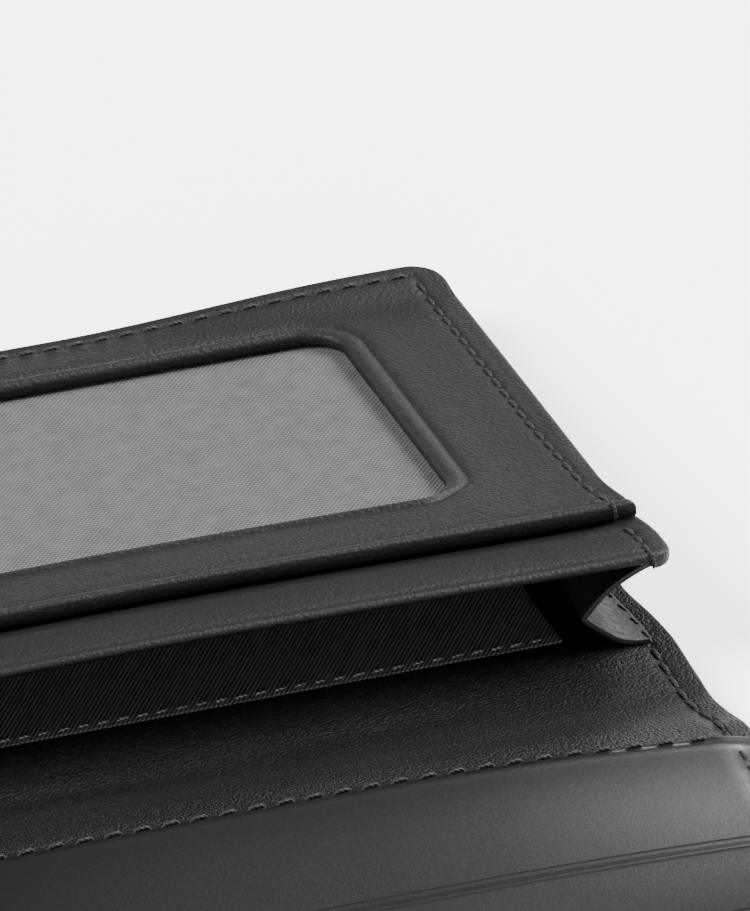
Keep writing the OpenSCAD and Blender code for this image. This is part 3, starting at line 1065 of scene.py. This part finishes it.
        def relief(x: Array, y: Array) -> Array:
            """Crease behind the turned edge, and the dip where the ID layer ends."""
            near = y - box[2]
            side = np.minimum(box[1] - x, x - box[0])
            out = ridge(near, self.crease_back, 0.3, -0.14) + ridge(near, 0.7, 0.5, 0.1)
            out += ridge(side, 1.2, 0.22, -0.06) * smooth(near, 1.0, 3.0)
            out += ridge(y - id_low.y, 0.5, 3.2, -0.45) * smooth(side, 0.0, 5.0)
            return out + dimples(x, y)

        def belly(x: Array, y: Array) -> Array:
            """Leather turned under at both ends."""
            return 0.75 * smooth(box[1] - np.abs(x), 3.0, 1.6) * smooth(y, low.y + 30, low.y + 10)

        sheet = Sheet(
            "card_pocket_leather", box, low.z, top - low.z, step=0.8, r_low=2.6, r_high=3.8,
            round_top=0.5, round_low=0.6, marks_x=both_sides(x, SEAM_LINES),
            marks_y=tuple(box[2] + m for m in (0.35, 0.7, 1.1, 1.5, 1.9, 2.4)),
        )
        obj = sheet.build(relief, self.layout.lie_pocket, belly)
        finish_piece(obj, self.finishes.pocket, "pocket", stands_for=["card_pocket_layer"])
        wraps = [Stitches().over_edge(s * x, low.y - 0.02, low.z, top) for s in (-1, 1)]
        threads = short.build("card_layer_threads", bent_places(rows + wraps, self.layout.lie_pocket), sink=-0.04)
        finish_piece(threads, self.finishes.thread, "pocket")

    def window(self) -> None:
        """Clear film and the grey cloth behind it."""
        for node, name, material, slot in (
            ("id_window_film", "window_film", self.finishes.film, "window_film"),
            ("id_backing", "window_backing", self.finishes.cloth, "window_backing_cloth"),
        ):
            low, high = self.layout.pocket_box(node, self.frame)
            base, thick = (low.z + 0.04, high.z - low.z - 0.08) if node == "id_window_film" else (low.z, 0.14)
            sheet = Sheet(name, (low.x, high.x, low.y, high.y), base, thick, step=2.0, round_top=0.05, round_low=0.05)
            obj = sheet.build(None, self.layout.lie_pocket)
            finish_piece(obj, material, "pocket", stands_for=[node])

    def roof_lining(self) -> None:
        """Twill under the roof of the pocket."""
        low, high = self.layout.pocket_box("pocket_roof_lining", self.frame)
        box = (low.x, high.x, low.y, high.y)
        sheet = Sheet("roof_twill", box, low.z, high.z - low.z, step=2.0, round_top=0.05, round_low=0.05)
        obj = sheet.build(None, self.layout.lie_pocket)
        finish_piece(obj, self.finishes.twill, "pocket", stands_for=["pocket_roof_lining"])

    def gusset(self, side: int) -> None:
        """V-folded strip at one end of the pocket, smooth inside and raw outside."""
        node = "gusset_right" if side > 0 else "gusset_left"
        low, high = corners(node)
        lay = self.layout
        near_y, far_y = low.y, high.y
        rim = max(abs(low.x), abs(high.x)) - 0.1
        fold_x = min(abs(low.x), abs(high.x)) - 0.4
        flange = rim - 2.4
        rim_low = lay.half - 2.1
        thick = self.gusset_thick
        rows, rings = 31, []
        # the strip's middle line in section: from the lower flange in to the fold and out to the upper flange
        for k in range(rows):
            t = k / (rows - 1)
            y = near_y + (far_y - near_y) * t
            s = (lay.pivot_y - y) / math.cos(lay.open_angle)
            floor_z = lay.base_t + thick / 2
            roof_z = lay.pivot_z + s * math.sin(lay.open_angle) - thick / 2 - 0.05
            reach = (flange - fold_x) * (0.12 + 0.88 * (1 - t))
            slack = 0.5 * math.sin(math.pi * min(1.0, t * 3)) * (1 - t)
            mid_z = floor_z + (roof_z - floor_z) * 0.43
            flare = 1.8 * float(smooth(np.array(s), 52, 64))
            spread = float(lay.flare(np.array([[rim_low, y, 0.0]]))[0, 0]) - rim_low
            profile = [
                (rim_low + spread, floor_z), (flange + 0.4 + spread, floor_z), (flange - 0.7, floor_z + 0.25),
                (flange - reach * 0.5, floor_z + (mid_z - floor_z) * (0.42 + 0.08 * slack)),
                (flange - reach * 0.93, mid_z - 0.35), (flange - reach, mid_z), (flange - reach * 0.93, mid_z + 0.35),
                (flange - reach * 0.5, mid_z + (roof_z - mid_z) * (0.58 - 0.08 * slack)),
                (flange - 0.5 + flare, roof_z - 0.3), (flange + 0.6 + flare, roof_z), (rim + flare, roof_z),
            ]
            rings.append([(side * x, y, z) for x, z in profile])
        width = len(rings[0])
        xs = np.linspace(0, 1, width)
        ys = np.linspace(0, 1, rows)
        obj = add_grid("gusset_leather_" + ("right" if side > 0 else "left"), xs, ys)
        co = read_points(obj)
        ix = np.rint(co[:, 0] * (width - 1)).astype(int)
        iy = np.rint(co[:, 1] * (rows - 1)).astype(int)
        co = np.array([rings[j][i] for i, j in zip(ix, iy)], float)
        write_points(obj, co)
        obj.data.materials.append(self.finishes.gusset)
        obj.data.materials.append(self.finishes.flesh)
        activate(obj)
        apply_modifier(obj, "SUBSURF", levels=2, render_levels=2)
        apply_modifier(obj, "SOLIDIFY", thickness=thick, offset=0.0)
        apply_modifier(obj, "BEVEL", width=0.12, segments=2, limit_method="ANGLE")
        bpy.ops.object.mode_set(mode="EDIT")
        bpy.ops.mesh.select_all(action="SELECT")
        bpy.ops.mesh.normals_make_consistent(inside=False)
        bpy.ops.object.mode_set(mode="OBJECT")
        for face in obj.data.polygons:
            face.material_index = 1 if side * face.normal.x > 0.15 and abs(face.center.x) < flange + 0.4 else 0
        obj.data.transform(Matrix.Scale(MM, 4))
        bpy.ops.object.shade_smooth_by_angle(angle=math.radians(SHARP_DEG))
        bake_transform(obj)
        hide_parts(node)
        LOG.info("%s: %d faces", obj.name, len(obj.data.polygons))


@dataclass
class Body:
    """Shell, liner, hems, linings and side seams that run through the whole wallet, cut where they lie rigid."""

    layout: Layout
    finishes: Finishes
    seam_margin: float = 2.4
    corner: float = 4.0
    hem_width: float = 3.0
    lining_thick: float = 0.2

    def stretches(self) -> list[tuple[str, float, float, Bend]]:
        """The four stretches of leather from +Y to -Y, each across one fold."""
        lay = self.layout
        mid_ab = (lay.fold_a + lay.fold_ab) / 2
        mid_b = (lay.fold_ab + lay.fold_bc) / 2
        mid_bc = (lay.fold_bc + lay.fold_c) / 2
        return [
            ("flap_a", mid_ab, lay.end_a, Bend("panel_a", "spine_ab", lay.fold_a + 4, lay.fold_a - 4)),
            ("centre_far", mid_b, mid_ab, Bend("spine_ab", "centre", lay.fold_ab + 4, lay.fold_ab - 4)),
            ("centre_near", mid_bc, mid_b, Bend("centre", "spine_bc", lay.fold_bc + 3.4, lay.fold_bc - 3.4)),
            ("flap_c", lay.end_c, mid_bc, Bend("spine_bc", "panel_c", lay.fold_c + 3.4, lay.fold_c - 3.4)),
        ]

    def build(self) -> None:
        """Builds every stretch."""
        tags = {"flap_a": ("a", "ab"), "centre_far": ("b",), "centre_near": ("bc",), "flap_c": ("c",)}
        for name, low, high, bend in self.stretches():
            for layer in (self.shell, self.liner, self.hems, self.linings, self.side_seams):
                layer(name, low, high, bend, tags[name])

    @staticmethod
    def nodes(panel: str, spine: str, tags: Sequence[str]) -> list[str]:
        """CAD nodes of a stretch; a panel's tag has one letter and a spine's has two."""
        return [(panel if len(tag) == 1 else spine) + tag for tag in tags]

    def ends(self, name: str) -> dict:
        """Corner radii and cut ends of a stretch."""
        return {
            "r_high": self.corner if name == "flap_a" else 0.0,
            "r_low": self.corner if name == "flap_c" else 0.0,
            "square_high": name != "flap_a",
            "square_low": name != "flap_c",
        }

    def fold_marks(self, low: float, high: float) -> tuple[float, ...]:
        """Extra grid lines, 0.5 mm apart, across each fold."""
        lay = self.layout
        folds = (lay.fold_a, lay.fold_ab, lay.fold_bc, lay.fold_c)
        return tuple(f + 0.5 * k for f in folds for k in range(-9, 10) if low < f + 0.5 * k < high)

    def side_row(self, z: float) -> list[Place]:
        """Both side rows of the whole wallet, at a height, without a break at the cuts."""
        lay, x = self.layout, self.layout.half - self.seam_margin
        top, foot = lay.end_a - self.seam_margin - 1.5, lay.end_c + self.seam_margin + 1.5
        rows = []
        for side in (-1, 1):
            rows += Stitches().centres(Vector((side * x, top, z)), Vector((side * x, foot, z)))
        return rows

    def under_rows(self, name: str, low: float, high: float, z: float) -> list[Place]:
        """Stitches of a stretch's sides, and of its free end, at a height."""
        x = self.layout.half - self.seam_margin
        rows = [place for place in self.side_row(z) if low < place[0].y < high]
        if name in ("flap_a", "flap_c"):
            y = high - self.seam_margin if name == "flap_a" else low + self.seam_margin
            rows += Stitches().centres(Vector((-x + 1.5, y, z)), Vector((x - 1.5, y, z)))
        return rows

    def shell(self, name: str, low: float, high: float, bend: Bend, tags: Sequence[str]) -> None:
        """Outer leather, with its seam pressed into the underside."""
        lay = self.layout
        rows = self.under_rows(name, low, high, 0.0)
        dimples = Stitches().dimples(rows, 0.16)
        x = lay.half - self.seam_margin
        sheet = Sheet(
            "outer_leather_" + name, (-lay.half, lay.half, low, high), 0.0, lay.shell_t, step=1.6,
            round_top=0.2, round_low=0.45, marks_y=self.fold_marks(low, high),
            marks_x=both_sides(x, SEAM_LINES), **self.ends(name),
        )

        def lie(co: Array) -> Array:
            """Spreads the ends and presses the stitches into the underside."""
            out = lay.flare(co)
            under = co[:, 2] < lay.shell_t / 2
            out[under, 2] -= dimples(co[under, 0], co[under, 1])
            return out

        obj = sheet.build(None, lie)
        nodes = self.nodes("outer_shell_", "outer_spine_", tags)
        finish_piece(obj, self.finishes.shell, bend=bend, stands_for=nodes)

    def liner(self, name: str, low: float, high: float, bend: Bend, tags: Sequence[str]) -> None:
        """Grained leather that lines the whole inside."""
        lay = self.layout
        rows = self.under_rows(name, low, high, lay.base_t)
        dimples = Stitches().dimples(rows, 0.2)
        x = lay.half - self.seam_margin
        step = 0.9 if name in ("flap_a", "centre_far") else 1.6

        def relief(px: Array, py: Array) -> Array:
            """Crease and groove beside the seam, and small wrinkles in the fold beside the pocket."""
            side = lay.half - np.abs(px)
            pucker = 0.07 * np.sin(py * 0.9 + 1.3 * np.sin(px * 0.11)) * np.sin(py * 0.37 + 0.05 * px)
            crease = smooth(py, lay.fold_a + 3, lay.fold_a - 3) * smooth(py, lay.fold_ab - 6, lay.fold_ab)
            seam = ridge(side, 1.3, 0.25, -0.07) + ridge(side, self.seam_margin, 0.45, -0.12)
            return dimples(px, py) + seam + pucker * crease

        sheet = Sheet(
            "liner_leather_" + name, (-lay.half, lay.half, low, high), lay.liner_z, lay.base_t - lay.liner_z, step=step,
            round_top=0.3, round_low=0.1, marks_y=self.fold_marks(low, high),
            marks_x=both_sides(x, (*SEAM_LINES, 1.1)), **self.ends(name),
        )
        obj = sheet.build(relief, lay.lie_inner)
        nodes = self.nodes("inner_liner_", "inner_spine_", tags)
        finish_piece(obj, self.finishes.liner, bend=bend, stands_for=nodes)

    def hems(self, name: str, low: float, high: float, bend: Bend, tags: Sequence[str]) -> None:
        """Turned leather along the edges: one closed layer at +X, two open ones at -X."""
        lay = self.layout
        width = self.hem_width
        gap_low, gap_high = lay.shell_t + 0.2, lay.liner_z - 0.5
        inner = lay.half - self.corner
        far = high - (self.corner if name == "flap_a" else 0.0)
        near = low + (self.corner if name == "flap_c" else 0.0)
        bars = [
            ((lay.half - width, lay.half - 0.05, near, far), lay.shell_t, lay.liner_z),
            ((-lay.half + 0.05, width - lay.half, near, far), lay.shell_t, gap_low),
            ((-lay.half + 0.05, width - lay.half, near, far), gap_high, lay.liner_z),
        ]
        if name == "flap_a":
            bars.append(((-inner, inner, high - width, high - 0.05), lay.shell_t, lay.liner_z))
        if name == "flap_c":
            bars.append(((-inner, inner, low + 0.05, low + width), lay.shell_t, lay.liner_z))
        parts = []
        for i, (box, z0, z1) in enumerate(bars):
            r = min(0.25, (z1 - z0) * 0.45)
            marks = self.fold_marks(box[2], box[3])
            bar = Sheet(f"hem_{name}_{i}", box, z0, z1 - z0, step=3.0, round_top=r, round_low=r, marks_y=marks)
            parts.append(bar.build(None, lay.flare))
        deselect()
        for part in parts:
            part.select_set(True)
        bpy.context.view_layer.objects.active = parts[0]
        bpy.ops.object.join()
        obj = bpy.context.object
        obj.name = "turned_hem_" + name
        finish_piece(obj, self.finishes.shell, bend=bend, stands_for=["hem_" + t for t in tags])

    def linings(self, name: str, low: float, high: float, bend: Bend, tags: Sequence[str]) -> None:
        """Twill on both walls of the bill compartment."""
        lay = self.layout
        low_y = low + (self.hem_width if name == "flap_c" else 0.0)
        high_y = high - (self.hem_width if name == "flap_a" else 0.0)
        box = (-lay.half + 3.05, lay.half - 3.05, low_y, high_y)
        for prefix, z in (("shell_lining_", lay.shell_t), ("liner_lining_", lay.shell_t + 0.4)):
            sheet = Sheet(
                "twill_" + prefix + name, box, z, self.lining_thick, step=3.0,
                round_top=0.05, round_low=0.05, marks_y=self.fold_marks(low_y, high_y),
            )
            obj = sheet.build(None, None)
            finish_piece(obj, self.finishes.twill, bend=bend, stands_for=[prefix + t for t in tags])

    def side_seams(self, name: str, low: float, high: float, bend: Bend, tags: Sequence[str]) -> None:
        """Threads on the underside, and on the liner wherever no card slot or pocket covers it."""
        lay = self.layout
        rows = bent_places(self.under_rows(name, low, high, 0.0), lay.flare)
        under = Stitches().build("outer_seam_" + name, rows, sink=-0.02, flip=True)
        nodes = ["seam_" + t for t in tags if t in ("a", "ab", "bc")]
        finish_piece(under, self.finishes.thread, bend=bend, stands_for=nodes)
        shown = {
            "flap_a": (low, lay.fold_a + 25),
            "centre_far": (lay.fold_ab - 0.5, high),
            "centre_near": (low, lay.fold_bc + 0.5),
            "flap_c": (lay.fold_c - 0.5, high),
        }
        foot, top = shown[name]
        rows = []
        for centre, way in self.side_row(lay.base_t):
            if max(foot, low) < centre.y < min(top, high):
                on_strip = 0.5 if centre.y > lay.fold_a + 3.4 else 0.0
                rows.append((centre + Vector((0, 0, on_strip)), way))
        over = Stitches().build("liner_seam_" + name, bent_places(rows, lay.lie_inner), sink=-0.04)
        finish_piece(over, self.finishes.thread, bend=bend)


@dataclass
class CardSlots:
    """Stepped card slots on one panel."""

    layout: Layout
    finishes: Finishes
    body: str
    letter: str
    seam_margin: float = 2.4

    def build(self) -> None:
        """Builds the three slots and their side seams."""
        lay = self.layout
        boxes = [corners(f"card_slot_{self.letter}{i}") for i in (1, 2, 3)]
        rows: list[Place] = []
        for i, (low, high) in enumerate(boxes):
            step_low = boxes[i + 1][1].y if i < 2 else low.y
            rows += self.slot(i, low, high, step_low)
        name = "slot_side_seam_" + self.letter
        threads = Stitches().build(name, bent_places(rows, lay.lie_inner), sink=-0.04)
        finish_piece(threads, self.finishes.thread, self.body, stands_for=["seam_" + self.letter])

    def slot(self, index: int, low: Vector, high: Vector, step_low: float) -> list[Place]:
        """One slot leather, with a creased free edge; the first of the centre panel is stitched along it.

        Args:
            index: 0 for the deepest slot.
            low: The CAD slot's low corner.
            high: Its high corner.
            step_low: Where the next slot begins to cover it.

        Returns:
            The stitches down its two sides.
        """
        lay = self.layout
        x = lay.half - self.seam_margin
        edge = high.y
        sewn = self.letter == "b" and index == 0
        stop = step_low + 0.4 if index < 2 else low.y + (self.seam_margin + 1.5 if self.letter == "c" else 1.0)
        side_rows = []
        for side in (-1, 1):
            side_rows += Stitches().centres(Vector((side * x, edge - 1.2, high.z)), Vector((side * x, stop, high.z)))
        end_rows = []
        if self.letter == "c" and index == 2:
            y = low.y + self.seam_margin - 0.3
            end_rows = Stitches().centres(Vector((-x + 1.5, y, high.z)), Vector((x - 1.5, y, high.z)))
        edging = Stitches(pitch=2.85, length=2.2)
        edge_row = []
        if sewn:
            y = edge - 0.42
            edge_row = edging.centres(Vector((-x + 0.5, y, high.z)), Vector((x - 0.5, y, high.z)))
        dimples = Stitches().dimples(side_rows + end_rows)
        scallops = edging.dimples(edge_row, 0.2, 0.55)

        def relief(px: Array, py: Array) -> Array:
            """Crease or scallops along the free edge, and the seams' hollows."""
            near = edge - py
            out = dimples(px, py) + ridge(lay.half - np.abs(px), 1.3, 0.25, -0.06)
            if sewn:
                return out + scallops(px, py) + ridge(near, 1.7, 0.4, 0.05)
            return out + ridge(near, 1.4, 0.25, -0.12) + ridge(near, 0.7, 0.4, 0.05)

        sheet = Sheet(
            f"card_slot_leather_{self.letter}{index + 1}", (low.x, high.x, low.y, high.y), low.z, high.z - low.z,
            step=0.9 if sewn else 1.5, r_low=3.8 if self.letter == "c" else 0.0, round_top=0.28, round_low=0.12,
            marks_x=both_sides(x, SEAM_LINES),
            marks_y=tuple(edge - m for m in (0.3, 0.5, 0.7, 0.95, 1.2, 1.4, 1.7, 2.1)),
        )
        obj = sheet.build(relief, lay.lie_inner)
        node = f"card_slot_{self.letter}{index + 1}"
        finish_piece(obj, self.finishes.slot, self.body, stands_for=[node])
        if edge_row:
            threads = edging.build("slot_edge_threads", bent_places(edge_row, lay.lie_inner), sink=-0.02)
            finish_piece(threads, self.finishes.thread, self.body, stands_for=["slot_edge_seam"])
        return side_rows + end_rows


@dataclass
class PocketFloor:
    """Twill on the pocket's floor and the seam that ends it."""

    layout: Layout
    finishes: Finishes

    def build(self) -> None:
        """Builds the twill and its seam."""
        low, high = corners("pocket_floor_lining")
        box = (low.x, high.x, low.y, high.y)
        sheet = Sheet("floor_twill", box, low.z, high.z - low.z, step=1.5, round_top=0.08, round_low=0.05)
        obj = sheet.build(lambda x, y: 0.05 * np.sin(x * 0.5) * smooth(y, low.y + 4, low.y), self.layout.lie_inner)
        finish_piece(obj, self.finishes.twill, "panel_a", stands_for=["pocket_floor_lining"])
        y = low.y + 0.8
        fine = Stitches(pitch=2.0, length=1.85, thick=0.24)
        rows = fine.centres(Vector((low.x + 1, y, high.z)), Vector((high.x - 1, y, high.z)))
        threads = fine.build("floor_seam_threads", bent_places(rows, self.layout.lie_inner), sink=0.05)
        finish_piece(threads, self.finishes.bright_thread, "panel_a", stands_for=["floor_seam"])


def dress(frame: dict, nodes: Sequence[str], material: Mat) -> None:
    """Gives carried-over CAD nodes a finish."""
    for node in nodes:
        data = frame["nodes"][node].data
        data.materials.clear()
        data.materials.append(material)


# ---------------------------------------------------------------- studio


@dataclass
class Studio:
    """Floor, lights and camera."""

    finishes: Finishes
    azimuth_deg: float = 17.07
    elevation_deg: float = 31.98
    roll_deg: float = -1.13
    distance: float = 1.2
    lens_mm: float = 481.5
    aim: tuple[float, float, float] = (0.010, 0.075, 0.006)
    right: float = 0.01913
    up: float = 0.00874

    def build(self) -> None:
        """Builds the studio."""
        deselect()
        bpy.ops.mesh.primitive_plane_add(size=6.0, location=(0, 0, -0.0002))
        floor = bpy.context.object
        floor.name = "studio_floor"
        bpy.ops.object.transform_apply(location=True, rotation=True, scale=True)
        floor.data.materials.append(self.finishes.floor)
        self.world()
        self.light("left_softbox", (-1.35, 0.2, 1.15), (0.0, 0.05, 0.0), (1.0, 1.0), 127.0)
        self.light("right_softbox", (1.4, 0.1, 1.15), (0.0, 0.05, 0.0), (1.0, 1.0), 121.0)
        self.light("back_right_softbox", (0.88, 0.85, 0.97), (0.03, 0.03, 0.0), (0.36, 0.36), 27.0)
        self.light("front_fill", (-0.35, -1.5, 0.42), (0.0, 0.05, 0.0), (0.8, 0.3), 16.0)
        self.camera()

    def world(self) -> None:
        """Even white surroundings."""
        world = bpy.data.worlds.new("studio")
        bpy.context.scene.world = world
        world.use_nodes = True
        background = world.node_tree.nodes["Background"]
        background.inputs["Color"].default_value = (1.0, 1.0, 1.0, 1.0)
        background.inputs["Strength"].default_value = 0.2

    def light(
        self, name: str, place: Sequence[float], aim: Sequence[float], size: tuple[float, float], power: float
    ) -> None:
        """Adds a rectangular soft light that faces a point."""
        data = bpy.data.lights.new(name, "AREA")
        data.shape = "RECTANGLE"
        data.size, data.size_y = size
        data.energy = power
        lamp = bpy.data.objects.new(name, data)
        bpy.context.scene.collection.objects.link(lamp)
        lamp.location = place
        lamp.rotation_euler = (Vector(aim) - Vector(place)).to_track_quat("-Z", "Y").to_euler()

    def camera(self) -> None:
        """Long lens from above, over the near left."""
        az, el, roll = (math.radians(a) for a in (self.azimuth_deg, self.elevation_deg, self.roll_deg))
        look = Vector((math.sin(az) * math.cos(el), math.cos(az) * math.cos(el), -math.sin(el)))
        side = Vector((math.cos(az), -math.sin(az), 0.0))
        rise = side.cross(look)
        right = side * math.cos(roll) + rise * math.sin(roll)
        up = rise * math.cos(roll) - side * math.sin(roll)
        data = bpy.data.cameras.new("camera")
        data.lens = self.lens_mm
        data.sensor_width = 36.0
        data.clip_start, data.clip_end = 0.05, 20.0
        camera = bpy.data.objects.new("camera", data)
        bpy.context.scene.collection.objects.link(camera)
        place = Vector(self.aim) - look * self.distance + right * self.right + up * self.up
        turn = Matrix((right, up, -look)).transposed().to_4x4()
        camera.matrix_world = Matrix.Translation(place) @ turn
        bpy.context.scene.camera = camera


def main() -> None:
    """Builds the wallet around its frame."""
    logging.basicConfig(level=logging.INFO, format="%(name)s %(message)s")
    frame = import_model()
    finishes = Finishes()
    layout = Layout.read(frame)
    Studio(finishes).build()
    BellowsPocket(layout, frame, finishes).build()
    Body(layout, finishes).build()
    CardSlots(layout, finishes, "centre", "b").build()
    CardSlots(layout, finishes, "panel_c", "c").build()
    PocketFloor(layout, finishes).build()
    dress(frame, ["board_a", "board_b", "board_c"], finishes.board)
    dress(frame, ["pocket_root_strip"], finishes.gusset)


if __name__ == "__main__":
    main()
